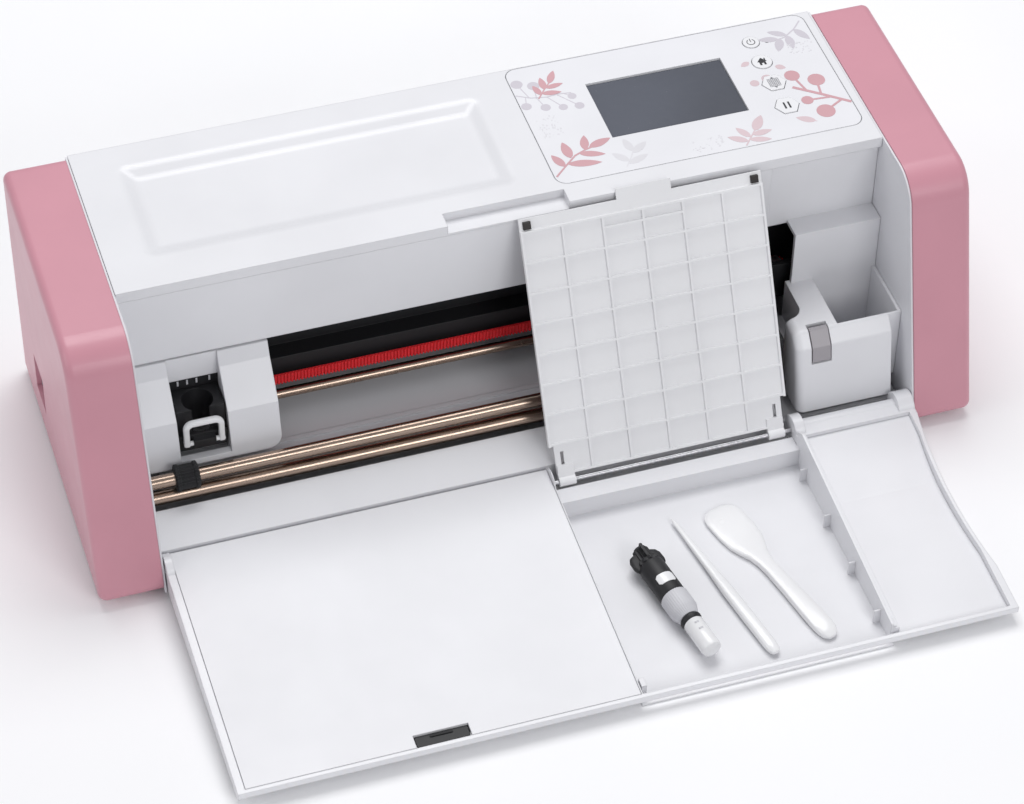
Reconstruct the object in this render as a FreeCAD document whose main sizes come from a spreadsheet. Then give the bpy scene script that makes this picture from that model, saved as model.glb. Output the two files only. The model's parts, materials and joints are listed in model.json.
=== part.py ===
"""Desktop die cutting machine, drawn with its front cover and compartment lid open.

Frame: X across the machine, -Y towards the user, +Z up, origin on the table under the middle of
the open machine. Lengths are millimetres. The driving dimensions are cells of the sheet "Size".
"""
import FreeCAD, Part
import math
import os

import Sketcher
from FreeCAD import Placement, Rotation, Vector

SIZES = {
    # casing
    "case_width": 531,          # over both side covers
    "side_thick": 37,           # one side cover
    "case_back": 180.5,         # rear face
    "case_toe": -24.5,          # lowest front edge of the side covers
    "case_top": 160,
    "case_floor": 4,            # lower edge of the side covers, held up by the feet
    "front_slope": 0.28,        # run back per rise of the side covers' front edge
    "nose_radius": 22,
    "side_wall": 3,
    "plate_half": 227,          # half width of the white plates between the side covers
    "liner_in": 227.2,
    "lip_front": 60,            # front edge of the top cover
    "top_thick": 7,
    "fascia_low": 103,
    # control panel
    "panel_left": 34.4,
    "panel_right": 222,
    "panel_front": 75.2,
    "panel_rear": 179.6,
    "panel_thick": 2.5,
    "display_left": 77.2,
    "display_front": 105.1,
    "display_length": 84.2,
    "display_depth": 49.7,
    "key_x": 184,
    # front cover and its hinge
    "hinge_y": -17.5,
    "hinge_z": 16,
    "cover_half": 226.5,
    "cover_reach": 163,         # hinge axis to the far lip
    "cover_under": -12,         # underside, measured from the hinge axis
    "cover_crown": 4.6,         # upper side above the hinge axis
    "cover_fall": 0.0585,       # fall of the upper side per millimetre of reach
    "barrel_radius": 9.3,
    "hinge_pin": 2,
    "tray_left": 3.2,
    "tray_right": 222.2,
    "tray_rear": 10,
    "tray_front": 160.4,
    "tray_under": -15.8,
    "tray_floor": -14.6,
    "divider_x": 151.3,
    # compartment lid
    "lid_lean": 62.5,           # degrees from the level, leaning back on the top cover
    "lid_left": 4.2,
    "lid_width": 146.1,
    "lid_reach": 159.4,
    "lid_back": -1.8,
    "lid_skin": 1.3,
    "lid_rib": 1.5,
    "lid_pin": 1.5,
    # carriage and its guides
    "car_left": -222,
    "car_width": 79,
    "slot_left": -202.3,
    "slot_width": 29.6,
    "rod_y": 65.6,
    "rod_z": 50.9,
    "rod_radius": 3,
    "belt_y": 72.3,
    "belt_z": 58,
    "belt_width": 7,
    "pulley_radius": 5,
    "belt_thick": 1.3,
    "pulley_left": -246.5,
    "pulley_right": 172,
    "bore_x": -187.5,
    "bore_y": 50.5,
    "bore_radius": 9,
    # feed rollers
    "feed_y": 23.5,
    "feed_z": 31.7,
    "feed_radius": 4.3,
    "pinch_z": 44.4,
    "pinch_shaft": 3.8,
    "rubber_radius": 8,
    "shaft_right": 157,
    "platen_top": 33.5,
    # storage bin
    "bin_left": 159.5,
    "bin_right": 227,
    "bin_rear": 52.5,
    "bin_rim": 68,
    "shelf_z": 106,
    # fits
    "running_fit": 0.05,
}

doc = FreeCAD.newDocument("CuttingMachine")
sheet = doc.addObject("Spreadsheet::Sheet", "Size")
for row, (alias, number) in enumerate(SIZES.items(), start=1):
    sheet.set("A%d" % row, alias)
    sheet.set("B%d" % row, str(number))
    sheet.setAlias("B%d" % row, alias)
doc.recompute()


class Length:
    """A dimension that carries both its value and its formula in the sheet's cells."""

    def __init__(self, value, formula):
        self.value = value
        self.formula = formula

    def _join(self, other, sign, value):
        other_text = other.formula if isinstance(other, Length) else repr(float(other))
        return Length(value, "(%s %s %s)" % (self.formula, sign, other_text))

    def __add__(self, other):
        return self._join(other, "+", self.value + plain(other))

    def __sub__(self, other):
        return self._join(other, "-", self.value - plain(other))

    def __mul__(self, other):
        return self._join(other, "*", self.value * plain(other))

    def __truediv__(self, other):
        return self._join(other, "/", self.value / plain(other))

    def __radd__(self, other):
        return self + other

    def __rmul__(self, other):
        return self * other

    def __rsub__(self, other):
        return -self + other

    def __neg__(self):
        return Length(-self.value, "(-%s)" % self.formula)


def plain(number):
    return number.value if isinstance(number, Length) else float(number)


class Cells:
    """Attribute access to the sheet: size.case_width is the cell as a Length."""

    def __getattr__(self, alias):
        return Length(float(SIZES[alias]), "Size.%s" % alias)


size = Cells()


def bind(item, path, number):
    """Set a property, and tie it to the sheet when the number comes from there."""
    if isinstance(number, Length):
        item.setExpression(path, number.formula)
    else:
        item.setExpression(path, repr(float(number)))


def locate(item, x, y, z, rotation=Rotation()):
    item.Placement = Placement(Vector(plain(x), plain(y), plain(z)), rotation)
    bind(item, "Placement.Base.x", x)
    bind(item, "Placement.Base.y", y)
    bind(item, "Placement.Base.z", z)


# ---------------------------------------------------------------- building blocks

ALONG = {
    "x": Rotation(Vector(0, 1, 0), 90),
    "y": Rotation(Vector(1, 0, 0), -90),
    "z": Rotation(),
}


def block(name, xs, ys, zs):
    """A box between two corners, given as three (low, high) pairs."""
    box = doc.addObject("Part::Box", name)
    for path, (low, high) in zip(("Length", "Width", "Height"), (xs, ys, zs)):
        bind(box, path, high - low)
    locate(box, xs[0], ys[0], zs[0])
    return box


def rod(name, axis, start, length, radius):
    """A cylinder that starts at a point and runs along +axis."""
    pin = doc.addObject("Part::Cylinder", name)
    bind(pin, "Radius", radius)
    bind(pin, "Height", length)
    locate(pin, start[0], start[1], start[2], ALONG[axis])
    return pin


def cone(name, axis, start, length, radius, end_radius):
    taper = doc.addObject("Part::Cone", name)
    bind(taper, "Radius1", radius)
    bind(taper, "Radius2", end_radius)
    bind(taper, "Height", length)
    locate(taper, start[0], start[1], start[2], ALONG[axis])
    return taper


def hexagon(name, centre, radius, low, high):
    prism = doc.addObject("Part::Prism", name)
    prism.Polygon = 6
    bind(prism, "Circumradius", radius)
    bind(prism, "Height", high - low)
    locate(prism, centre[0], centre[1], low)
    return prism


def fuse(name, *pieces):
    joined = doc.addObject("Part::MultiFuse", name)
    joined.Shapes = list(pieces)
    joined.Refine = True
    return joined


def cut(name, base, *tools):
    """The base less one tool, or less several tools joined."""
    result = doc.addObject("Part::Cut", name)
    result.Base = base
    result.Tool = tools[0] if len(tools) == 1 else fuse(name + "_tools", *tools)
    return result


def group(name, *pieces):
    """Several separate solids in one node."""
    cluster = doc.addObject("Part::Compound", name)
    cluster.Links = list(pieces)
    return cluster


def sketch_outline(body, name, plane, offset, outline):
    """A closed straight-sided sketch, each corner fixed by its two coordinates."""
    sketch = body.newObject("Sketcher::SketchObject", name)
    support = [item for item in body.Origin.OriginFeatures if item.Role == plane][0]
    sketch.AttachmentSupport = [(support, "")]
    sketch.MapMode = "FlatFace"
    bind(sketch, "AttachmentOffset.Base.z", offset)
    corners = [Vector(plain(a), plain(b), 0) for a, b in outline]
    count = len(corners)
    for index in range(count):
        sketch.addGeometry(Part.LineSegment(corners[index], corners[(index + 1) % count]))
    for index in range(count):
        sketch.addConstraint(Sketcher.Constraint("Coincident", index, 2, (index + 1) % count, 1))
    for index, corner in enumerate(outline):
        for kind, number in zip(("DistanceX", "DistanceY"), corner):
            rule = sketch.addConstraint(Sketcher.Constraint(kind, index, 1, plain(number)))
            if isinstance(number, Length):
                sketch.setExpression("Constraints[%d]" % rule, number.formula)
    return sketch


def profile(name, xs, outline):
    """A body with a (y, z) outline drawn square to X and padded from xs[0] to xs[1]."""
    body = doc.addObject("PartDesign::Body", name)
    pad = body.newObject("PartDesign::Pad", name + "_pad")
    pad.Profile = sketch_outline(body, name + "_outline", "YZ_Plane", xs[0], outline)
    bind(pad, "Length", xs[1] - xs[0])
    body.Tip = pad
    return body


def round_edges(body, name, radius, wanted):
    """Fillet those edges of a body's tip whose middle point passes the test."""
    doc.recompute()
    tip = body.Tip
    names = []
    for index, edge in enumerate(tip.Shape.Edges, start=1):
        if wanted(edge, edge.BoundBox.Center):
            names.append("Edge%d" % index)
    fillet = body.newObject("PartDesign::Fillet", name)
    fillet.Base = (tip, names)
    bind(fillet, "Radius", radius)
    body.Tip = fillet
    return fillet


def rounded(name, base, radius, wanted):
    """Fillet the edges of a Part feature whose middle point passes the test."""
    doc.recompute()
    fillet = doc.addObject("Part::Fillet", name)
    fillet.Base = base
    fillet.Edges = [(index, radius, radius) for index, edge in enumerate(base.Shape.Edges, start=1)
                    if wanted(edge, edge.BoundBox.Center)]
    return fillet


def across(edge):
    """True for a straight edge parallel to X."""
    box = edge.BoundBox
    return box.XLength > 1 and box.YLength < 1e-4 and box.ZLength < 1e-4


NODES = []


def node(item, name=None):
    """Mark a finished sub-part: its Label is the name of its file."""
    if name:
        item.Label = name
    NODES.append(item)
    return item


# ---------------------------------------------------------------- side covers and liners

def case_outline(inset, back_inset):
    """Side view of the casing, moved inwards all round."""
    front = size.case_toe + inset
    rise = size.case_top - size.case_floor
    return [
        (front, size.case_floor + back_inset),
        (size.case_back - back_inset, size.case_floor + back_inset),
        (size.case_back - back_inset, size.case_top - back_inset),
        (front + size.front_slope * rise, size.case_top - back_inset),
    ]


def side_span(side, low, high):
    """The x range at a distance from the middle, on the left (-1) or right (+1)."""
    return (low, high) if side > 0 else (-high, -low)


def side_cover(label, side):
    outer = size.case_width / 2
    inner = outer - size.side_thick
    xs = side_span(side, inner, outer)
    body = profile(label + "_body", xs, case_outline(0, 0))
    nose_y = plain(size.case_toe + size.front_slope * (size.case_top - size.case_floor))
    round_edges(body, label + "_nose", size.nose_radius,
                lambda e, m: across(e) and abs(m.y - nose_y) < 1 and m.z > 150)
    round_edges(body, label + "_corners", 6, lambda e, m: across(e) and (
        (m.y > 170 and m.z > 150) or (m.y < -20 and m.z < 10)))
    outer_x = plain(outer) * side
    round_edges(body, label + "_rim", 5, lambda e, m: e.BoundBox.XLength < 1e-4
                and abs(m.x - outer_x) < 1e-3)
    # the hollow follows the outline, with the corner behind the nose taken off
    wall = size.side_wall
    front = size.case_toe + wall * 1.3
    top = size.case_top - wall
    nose = front + size.front_slope * (size.case_top - size.case_floor - wall)
    hollow = [
        (front + size.front_slope * wall, size.case_floor + wall),
        (size.case_back - wall, size.case_floor + wall),
        (size.case_back - wall, top),
        (nose + 18, top),
        (nose - size.front_slope * 18, top - 18),
    ]
    pocket = body.newObject("PartDesign::Pocket", label + "_hollow")
    start = xs[0] + 0 if side > 0 else xs[1] - (size.side_thick - wall)
    pocket.Profile = sketch_outline(body, label + "_hollow_outline", "YZ_Plane", start, hollow)
    bind(pocket, "Length", size.side_thick - wall)
    pocket.Reversed = True
    body.Tip = pocket
    # finger grip through the outer wall
    grip = block(label + "_grip", side_span(side, outer - 6, outer + 1), (109, 134), (30, 56))
    return node(cut(label + "_shell", body, grip), label)


def side_liner(label, side, windows):
    """Thin white wall between a side cover and the inside of the machine."""
    xs = side_span(side, size.liner_in, size.case_width / 2 - size.side_thick - 0.1)
    body = profile(label + "_plate", xs, case_outline(0.6, 0.6))
    nose_y = plain(size.case_toe + 0.6 + size.front_slope * (size.case_top - size.case_floor))
    round_edges(body, label + "_nose", size.nose_radius,
                lambda e, m: across(e) and abs(m.y - nose_y) < 1 and m.z > 150)
    reach = xs[1] - xs[0] + 2
    pin_hole = rod(label + "_pin_hole", "x", (xs[0] - 1, size.hinge_y, size.hinge_z), reach,
                   size.hinge_pin + size.running_fit)
    return node(cut(label, body, pin_hole, *windows(label, xs, reach)), label)


def left_windows(label, xs, reach):
    start = xs[0] - 1
    return [
        rod(label + "_feed_hole", "x", (start, size.feed_y, size.feed_z), reach, 6),
        rod(label + "_pinch_hole", "x", (start, size.feed_y, size.pinch_z), reach, 5.5),
        block(label + "_belt_gate", (start, xs[1] + 1),
              (size.belt_y - 9, size.belt_y + 9), (size.belt_z - 2, size.belt_z + 9)),
    ]


def no_windows(label, xs, reach):
    return []


side_cover("left_side_cover", -1)
side_cover("right_side_cover", 1)
side_liner("left_liner", -1, left_windows)
side_liner("right_liner", 1, no_windows)


def grip_cup(name, side):
    """Shallow cup behind the finger grip of a side cover."""
    deep = size.case_width / 2 - size.side_wall
    outer = block(name + "_outer", side_span(side, deep - 8, deep - 0.1), (107, 136), (28, 58))
    inner = block(name + "_inner", side_span(side, deep - 6, deep + 1), (109, 134), (30, 56))
    return cut(name, outer, inner)


node(group("grip_cups", grip_cup("left_cup", -1), grip_cup("right_cup", 1)))


# ---------------------------------------------------------------- top cover and panel

def frustum(name, xs, ys, zs, slope):
    """A sunk rectangle whose walls run outwards by slope on the way up."""
    wedge = doc.addObject("Part::Wedge", name)
    wedge.Ymin = 0
    bind(wedge, "Ymax", zs[1] - zs[0])
    for path, number in (("Xmin", slope), ("Xmax", xs[1] - xs[0] - slope), ("X2min", 0),
                         ("X2max", xs[1] - xs[0]), ("Zmin", slope),
                         ("Zmax", ys[1] - ys[0] - slope), ("Z2min", 0), ("Z2max", ys[1] - ys[0])):
        bind(wedge, path, number)
    locate(wedge, xs[0], ys[1], zs[0], Rotation(Vector(1, 0, 0), 90))
    return wedge


KEYS = {  # name: (y, radius, sides)
    "power_key": (162.5, 5, 0),
    "home_key": (143.7, 6, 0),
    "mat_key": (123.8, 7.5, 6),
    "pause_key": (102.4, 7.5, 6),
}
LED_X = 193.7


def key_shape(name, grow, low, high):
    y, radius, sides = KEYS[name.split("-")[0]]
    label = name.replace("-", "_")
    if sides:
        return hexagon(label, (size.key_x, y), radius + grow, low, high)
    return rod(label, "z", (size.key_x, y, low), high - low, radius + grow)


top = size.case_top
under = size.case_top - size.top_thick
plate = block("top_plate", (-size.plate_half, size.plate_half),
              (size.lip_front, size.case_back), (under, top))
recess_low = 156
recess_wedge = frustum("top_recess_wedge", (-202, 12), (85.5, 161), (recess_low, top), 8)
recess_corners = rounded("top_recess_corners", recess_wedge, 9, lambda e, m:
                         abs(e.BoundBox.XLength - 8) < 0.1 and abs(e.BoundBox.YLength - 8) < 0.1)
recess = rounded("top_recess", recess_corners, 10, lambda e, m: abs(m.z - recess_low) < 1e-3)
notch = block("finger_notch", (-36, 36), (size.lip_front - 1, size.lip_front + 11),
              (top - 5.5, top + 1))


def panel_outline(name, gap, low, high):
    """The panel's rectangle with round corners, grown by a gap."""
    xs = (size.panel_left - gap, size.panel_right + gap)
    ys = (size.panel_front - gap, size.panel_rear + gap)
    body = profile(name, xs, [(ys[0], low), (ys[1], low), (ys[1], high), (ys[0], high)])
    round_edges(body, name + "_corners", 7 + gap, lambda e, m: e.BoundBox.ZLength > 1
                and e.BoundBox.XLength < 1e-4 and e.BoundBox.YLength < 1e-4)
    return body


seat = panel_outline("panel_seat", 0.4, top - size.panel_thick, top + 1)
well = block("panel_well", (70, 208), (93, 172), (under - 1, top))
top_cut = cut("top_cover_cut", plate, recess, notch, seat, well)
node(rounded("top_cover", top_cut, 10, lambda e, m: abs(e.BoundBox.ZMin - 160) < 1e-3
             and e.BoundBox.XMin > -205 and e.BoundBox.XMax < 15 and e.BoundBox.YMin > 80
             and e.BoundBox.YMax < 165))

panel_body = panel_outline("panel_plate", 0, top - size.panel_thick, top)
display_xs = (size.display_left, size.display_left + size.display_length)
display_ys = (size.display_front, size.display_front + size.display_depth)
window = block("display_window", display_xs, display_ys, (150, top + 1))
key_holes = [key_shape(name + "-hole", 0.35, size.case_top - 5, size.case_top + 1)
             for name in KEYS]
led_hole = rod("led_hole", "z", (LED_X, 161.3, 150), 12, 1.6)
node(cut("panel_cut", panel_body, window, led_hole, *key_holes), "control_panel")

node(block("display_glass", (display_xs[0] + 0.3, display_xs[1] - 0.3),
           (display_ys[0] + 0.3, display_ys[1] - 0.3), (top - 3, top - 1.4)))
node(group("display_module",
           block("display_back", (display_xs[0] - 4, display_xs[1] + 3.5),
                 (display_ys[0] - 4, display_ys[1] + 4), (under + 0.2, top - 3)),
           block("keypad_board", (173, 205), (94, 171), (under + 0.3, top - 5.4))))
node(rod("status_led", "z", (LED_X, 161.3, top - 5), 5, 1.5))
for key_name in KEYS:
    node(key_shape(key_name, 0, top - 4.6, top + 0.5), key_name)

# ---------------------------------------------------------------- fascia, rear cover, base

node(block("fascia", (-size.plate_half, size.bin_left - 0.3),
           (size.lip_front, size.lip_front + 2.5), (size.fascia_low, under)))

rear_plate = block("rear_plate", (-size.plate_half, size.plate_half),
                   (size.case_back - 2.5, size.case_back), (7, under))
mat_exit = block("mat_exit", (-200, 152), (170, 190), (size.platen_top, size.platen_top + 11))
inlet_hole = block("inlet_hole", (-205, -177), (170, 190), (9, 28))
usb_hole = block("usb_hole", (188, 204), (170, 190), (18, 28))
node(cut("rear_cover", rear_plate, mat_exit, inlet_hole, usb_hole))
node(fuse("power_inlet",
          cut("inlet_socket", block("inlet_body", (-204.8, -177.2), (160, 180.3), (9.2, 27.8)),
              block("inlet_mouth", (-201, -181), (166, 190), (13, 24))),
          block("inlet_pins", (-192, -190), (160, 176), (17.5, 19.5))))
node(cut("usb_port", block("usb_body", (188.2, 203.8), (165, 180.3), (18.2, 27.8)),
         block("usb_mouth", (190.5, 201.5), (170, 190), (20.2, 25.8))))

pan = [
    block("pan_floor", (-226.8, 226.8), (-6, 177.8), (4.5, 7)),
    block("pan_front", (-226.8, 226.8), (-6, -3.5), (6, 12)),
    block("pan_left", (-226.8, -224.3), (18, 177.8), (6, 22)),
    block("pan_right", (224.3, 226.8), (18, 177.8), (6, 16)),
]
node(fuse("base_pan", *pan))
node(group("feet", *[rod("foot_%d" % number, "z", (x, y, 0), 4.4, 9)
                     for number, (x, y) in enumerate(((-200, 12), (200, 12), (-200, 162),
                                                      (200, 162)))]))
node(group("case_screws", *[rod("screw_%d" % number, "z", (x, y, 2.6), 1.8, 3)
                            for number, (x, y) in enumerate(((-215, 60), (215, 60), (-60, 165),
                                                             (60, 165)))]))

node(profile("front_ledge", (-size.plate_half, 146),
             [(-7.6, 12.4), (-7.6, 21), (16.5, 28.5), (16.5, 26), (-5, 19), (-5, 12.4)]))

node(fuse("platen",
          block("platen_plate", (-214, 152.5), (29.5, 176), (size.platen_top - 3, size.platen_top)),
          block("platen_ridge", (-214, 152.5), (43, 46), (size.platen_top - 1,
                                                         size.platen_top + 1))))
node(block("main_board", (-120, 60), (50, 160), (12, 13.6)))
node(block("power_supply", (80, 150), (70, 165), (9, 28)))

# ---------------------------------------------------------------- feed rollers

shaft_left = -240
node(rod("feed_roller", "x", (shaft_left, size.feed_y, size.feed_z), size.shaft_right - shaft_left,
         size.feed_radius), "feed_roller")
node(rod("pinch_shaft", "x", (-232, size.feed_y, size.pinch_z), size.shaft_right + 232,
         size.pinch_shaft))


def rubber(name, left, right):
    """A pinch roller with a small shoulder at both ends."""
    sleeve = rod(name + "_sleeve", "x", (left, size.feed_y, size.pinch_z), right - left,
                 size.rubber_radius)
    shoulder = 2.5
    grooves = []
    for end, start in (("a", left + shoulder), ("b", right - shoulder - 1)):
        ring = rod(name + "_ring_" + end, "x", (start, size.feed_y, size.pinch_z), 1,
                   size.rubber_radius + 1)
        core = rod(name + "_core_" + end, "x", (start - 1, size.feed_y, size.pinch_z), 3,
                   size.rubber_radius - 1)
        grooves.append(cut(name + "_groove_" + end, ring, core))
    hole = rod(name + "_hole", "x", (left - 1, size.feed_y, size.pinch_z), right - left + 2,
               size.pinch_shaft)
    return cut(name, sleeve, hole, *grooves)


node(group("pinch_rollers", rubber("rubber_left", -209, -192), rubber("rubber_right", 118, 135)))

bearing = block("bearing_block", (153, 156), (14, 70), (7, 60))
bearing_holes = [
    rod("bearing_feed", "x", (150, size.feed_y, size.feed_z), 10, 6),
    rod("bearing_pinch", "x", (150, size.feed_y, size.pinch_z), 10, 5.5),
    rod("bearing_rod", "x", (150, size.rod_y, size.rod_z), 10,
        size.rod_radius + size.running_fit),
    block("bearing_belt", (150, 160), (size.belt_y - 7.5, 80), (size.belt_z - 2, 80)),
]
node(cut("bearing_plate", bearing, *bearing_holes))


def bush(name, left, z, outer, shaft):
    ring = rod(name + "_ring", "x", (left, size.feed_y, z), 2.8, outer)
    hole = rod(name + "_hole", "x", (left - 1, size.feed_y, z), 5, shaft + size.running_fit)
    return cut(name, ring, hole)


node(group("roller_bushes",
           bush("bush_feed_left", -228.4, size.feed_z, 5.95, size.feed_radius),
           bush("bush_pinch_left", -228.4, size.pinch_z, 5.45, size.pinch_shaft),
           bush("bush_feed_right", 153.1, size.feed_z, 5.95, size.feed_radius),
           bush("bush_pinch_right", 153.1, size.pinch_z, 5.45, size.pinch_shaft)))


def belt_loop(name, flat_axis, centres, wheel, thick, span):
    """A closed belt round two equal wheels, as outer less inner race-track."""
    tracks = []
    for kind, radius, grow in (("outer", wheel + thick, 0), ("inner", wheel, 1)):
        low, high = span[0] - grow, span[1] + grow
        first, second = centres
        if flat_axis == "z":
            wheels = [rod("%s_%s_%d" % (name, kind, i), "z", (c[0], c[1], low), high - low, radius)
                      for i, c in enumerate(centres)]
            run = block("%s_%s_run" % (name, kind), (first[0], second[0]),
                        (first[1] - radius, first[1] + radius), (low, high))
        else:
            wheels = [rod("%s_%s_%d" % (name, kind, i), "x", (low, c[0], c[1]), high - low, radius)
                      for i, c in enumerate(centres)]
            run = block("%s_%s_run" % (name, kind), (low, high), (first[0], second[0]),
                        (first[1] - radius, first[1] + radius))
        tracks.append(fuse("%s_%s" % (name, kind), run, *wheels))
    return cut(name, tracks[0], tracks[1])


motor_y = 77.5
wheel_radius = 8
node(rod("feed_pulley_wheel", "x", (-238, size.feed_y, size.feed_z), 6, wheel_radius - 0.1))
NODES.pop()
feed_wheel = cut("feed_pulley", doc.getObject("feed_pulley_wheel"),
                 rod("feed_pulley_hole", "x", (-239, size.feed_y, size.feed_z), 8,
                     size.feed_radius))
node(feed_wheel)
node(fuse("motor_pulley",
          rod("motor_pulley_wheel", "x", (-238, motor_y, size.feed_z), 6, wheel_radius - 0.1),
          rod("motor_pulley_shaft", "x", (-241, motor_y, size.feed_z), 4, 2.5)))
node(belt_loop("feed_belt", "x", ((size.feed_y, size.feed_z), (motor_y, size.feed_z)),
               wheel_radius, 1.2, (-237.5, -232.5)))
node(cut("feed_motor", block("feed_motor_body", (-262, -239), (60, 95), (14, 49)),
         rod("feed_motor_nose", "x", (-245, motor_y, size.feed_z), 8, 3)))

# ---------------------------------------------------------------- guides, belt, scanner

rail = fuse("rail_plate",
            block("rail_web", (-226, 190), (82, 85), (43, 150)),
            block("rail_strip", (-226, 190), (77.5, 83), (90, 94)),
            block("rail_shelf", (-226, 150), (71, 83), (72, 74.4)),
            block("rail_lip", (-226, 150), (71, 73), (55, 74.4)))
node(rail)
node(rod("guide_rod", "x", (-226.8, size.rod_y, size.rod_z), 156 + 226.8, size.rod_radius))
belt_zs = (size.belt_z, size.belt_z + size.belt_width)
node(belt_loop("drive_belt", "z",
               ((size.pulley_left, size.belt_y), (size.pulley_right, size.belt_y)),
               size.pulley_radius, size.belt_thick, belt_zs))
for pulley, x in (("drive_pulley", size.pulley_left), ("idle_pulley", size.pulley_right)):
    wheel = rod(pulley + "_wheel", "z", (x, size.belt_y, size.belt_z - 0.5),
                size.belt_width + 1, size.pulley_radius - 0.1)
    spindle = rod(pulley + "_spindle", "z", (x, size.belt_y, size.belt_z - 4),
                  size.belt_width + 8, 2)
    node(fuse(pulley, wheel, spindle))
node(cut("carriage_motor", block("carriage_motor_body", (-262, -231), (57, 88), (68, 98)),
         rod("carriage_motor_nose", "z", (size.pulley_left, size.belt_y, 60), 12, 2.6)))
node(cut("idler_bracket",
         fuse("idler_bracket_body", block("idler_bracket_arm", (162, 182), (62, 82), (50, 56.8)),
              block("idler_guard", (159.5, 185), (59, 62.4), (50, 76))),
         rod("idler_bracket_hole", "z", (size.pulley_right, size.belt_y, 40), 30,
             2 + size.running_fit)))

node(group("scanner_bar", block("scanner_case", (-214, 150), (112, 142), (46, 72)),
           block("scanner_glass", (-210, 146), (114, 140), (44.6, 46))))

# ---------------------------------------------------------------- carriage

car_right = size.car_left + size.car_width
slot_right = size.slot_left + size.slot_width
car_outline = [(33, 42), (39.5, 72), (55.5, 93), (59.5, 101.5), (76, 101.5), (76, 42)]
car_inside = [(36.5, 44.5), (42, 71), (57.5, 91.6), (61, 99), (61, 40), (36.5, 40)]
car_shell = profile("carriage_shell", (size.car_left, car_right), car_outline)
round_edges(car_shell, "carriage_corner", 8, lambda e, m: e.BoundBox.XLength < 1e-4
            and abs(m.x - plain(car_right)) < 0.01 and abs(m.z - 42) < 0.01)
wall = 2
node(cut("carriage_cut", car_shell,
         profile("car_left_room", (size.car_left + wall, size.slot_left - wall), car_inside),
         profile("car_right_room", (slot_right + wall, car_right - wall), car_inside),
         block("car_slot", (size.slot_left, slot_right), (38.6, 62), (40, 84)),
         block("car_slot_front", (size.slot_left, slot_right), (30, 60.2), (45.5, 110)),
         block("car_gate", (size.car_left - 1, car_right + 1), (60.9, 77), (40, 68)),
         block("car_rail_gate", (size.car_left - 1, car_right + 1), (70, 77), (40, 76)),
         block("car_rear_room", (size.car_left + wall, car_right - wall), (60.9, 77), (40, 99))),
     "carriage_cover")

frame_block = block("frame_block", (size.car_left + wall + 0.1, car_right - wall - 0.1),
                    (61.3, 76), (45, 98.8))
node(cut("carriage_frame", frame_block,
         rod("frame_bore", "x", (size.car_left, size.rod_y, size.rod_z), size.car_width + 2,
             size.rod_radius + size.running_fit),
         block("frame_belt_slot", (size.car_left, car_right), (65.4, 68),
               (size.belt_z - 0.5, size.belt_z + size.belt_width + 0.5)),
         block("frame_rail_slot", (size.car_left, car_right), (77, 77.4), (89.4, 94.6)),
         block("frame_low_rear", (size.car_left, car_right), (70, 77), (40, 75))))

holder_xs = (size.slot_left + 0.8, slot_right - 0.8)
holder_block = block("holder_block", holder_xs, (39.5, 61), (48, 76))
holder_front = block("holder_relief", holder_xs, (39, 43), (59.5, 77))
lugs = block("holder_lugs", (-194, -181), (35.2, 39.6), (52.5, 58.5))
holder_bore = rod("holder_bore", "z", (size.bore_x, size.bore_y, 40), 50, size.bore_radius)
clamp_y, clamp_z = 37.2, 55.5
lever_hole = rod("holder_lever_hole", "x", (-205, clamp_y, clamp_z), 40, 1.5 + size.running_fit)
node(cut("tool_holder", fuse("holder_solid", holder_block, lugs), holder_front, holder_bore,
         lever_hole))
node(fuse("clamp_lever",
          rod("lever_pin", "x", (-199.5, clamp_y, clamp_z), 24, 1.5),
          block("lever_arm_left", (-199.5, -196), (35.4, 38.7), (54.1, 72)),
          block("lever_arm_right", (-179, -175.5), (35.4, 38.7), (54.1, 72)),
          block("lever_bar", (-199.5, -175.5), (35, 39), (69, 73.5))))

# ---------------------------------------------------------------- storage bin


bin_front = [(-7.2, 17), (1.7, 60), (9, size.bin_rim)]
bin_block = profile("bin_block", (size.bin_left, size.bin_right),
                    bin_front + [(size.bin_rear, size.bin_rim), (size.bin_rear, 17)])
round_edges(bin_block, "bin_rim_round", 4, lambda e, m: across(e) and m.z > 50 and m.y < 20)
round_edges(bin_block, "bin_front_corner", 5, lambda e, m: e.BoundBox.XLength < 1e-4
            and m.x < 160 and m.y < 5 and m.z < 60)
# the rim's left side steps in behind its front corner
side_step = block("bin_side_step", (size.bin_left - 1, 170.5), (30, 60), (40, 80))
side_bend = rod("bin_side_bend", "z", (162, 30, 40), 40, 8.5)
bin_back = block("bin_back", (173.5, size.plate_half), (size.bin_rear - 2.5, size.bin_rear),
                 (17, size.shelf_z))
bin_shelf = block("bin_shelf", (173.5, size.plate_half), (size.bin_rear - 2.5, 66.5),
                  (size.shelf_z - 2.5, size.shelf_z))
back_wall = block("bin_upper_back", (size.bin_left, size.plate_half), (64, 66.5),
                  (size.shelf_z - 2, under))
cavity = block("bin_cavity", (187, size.bin_right - 2), (10, 50), (20, 110))
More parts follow.
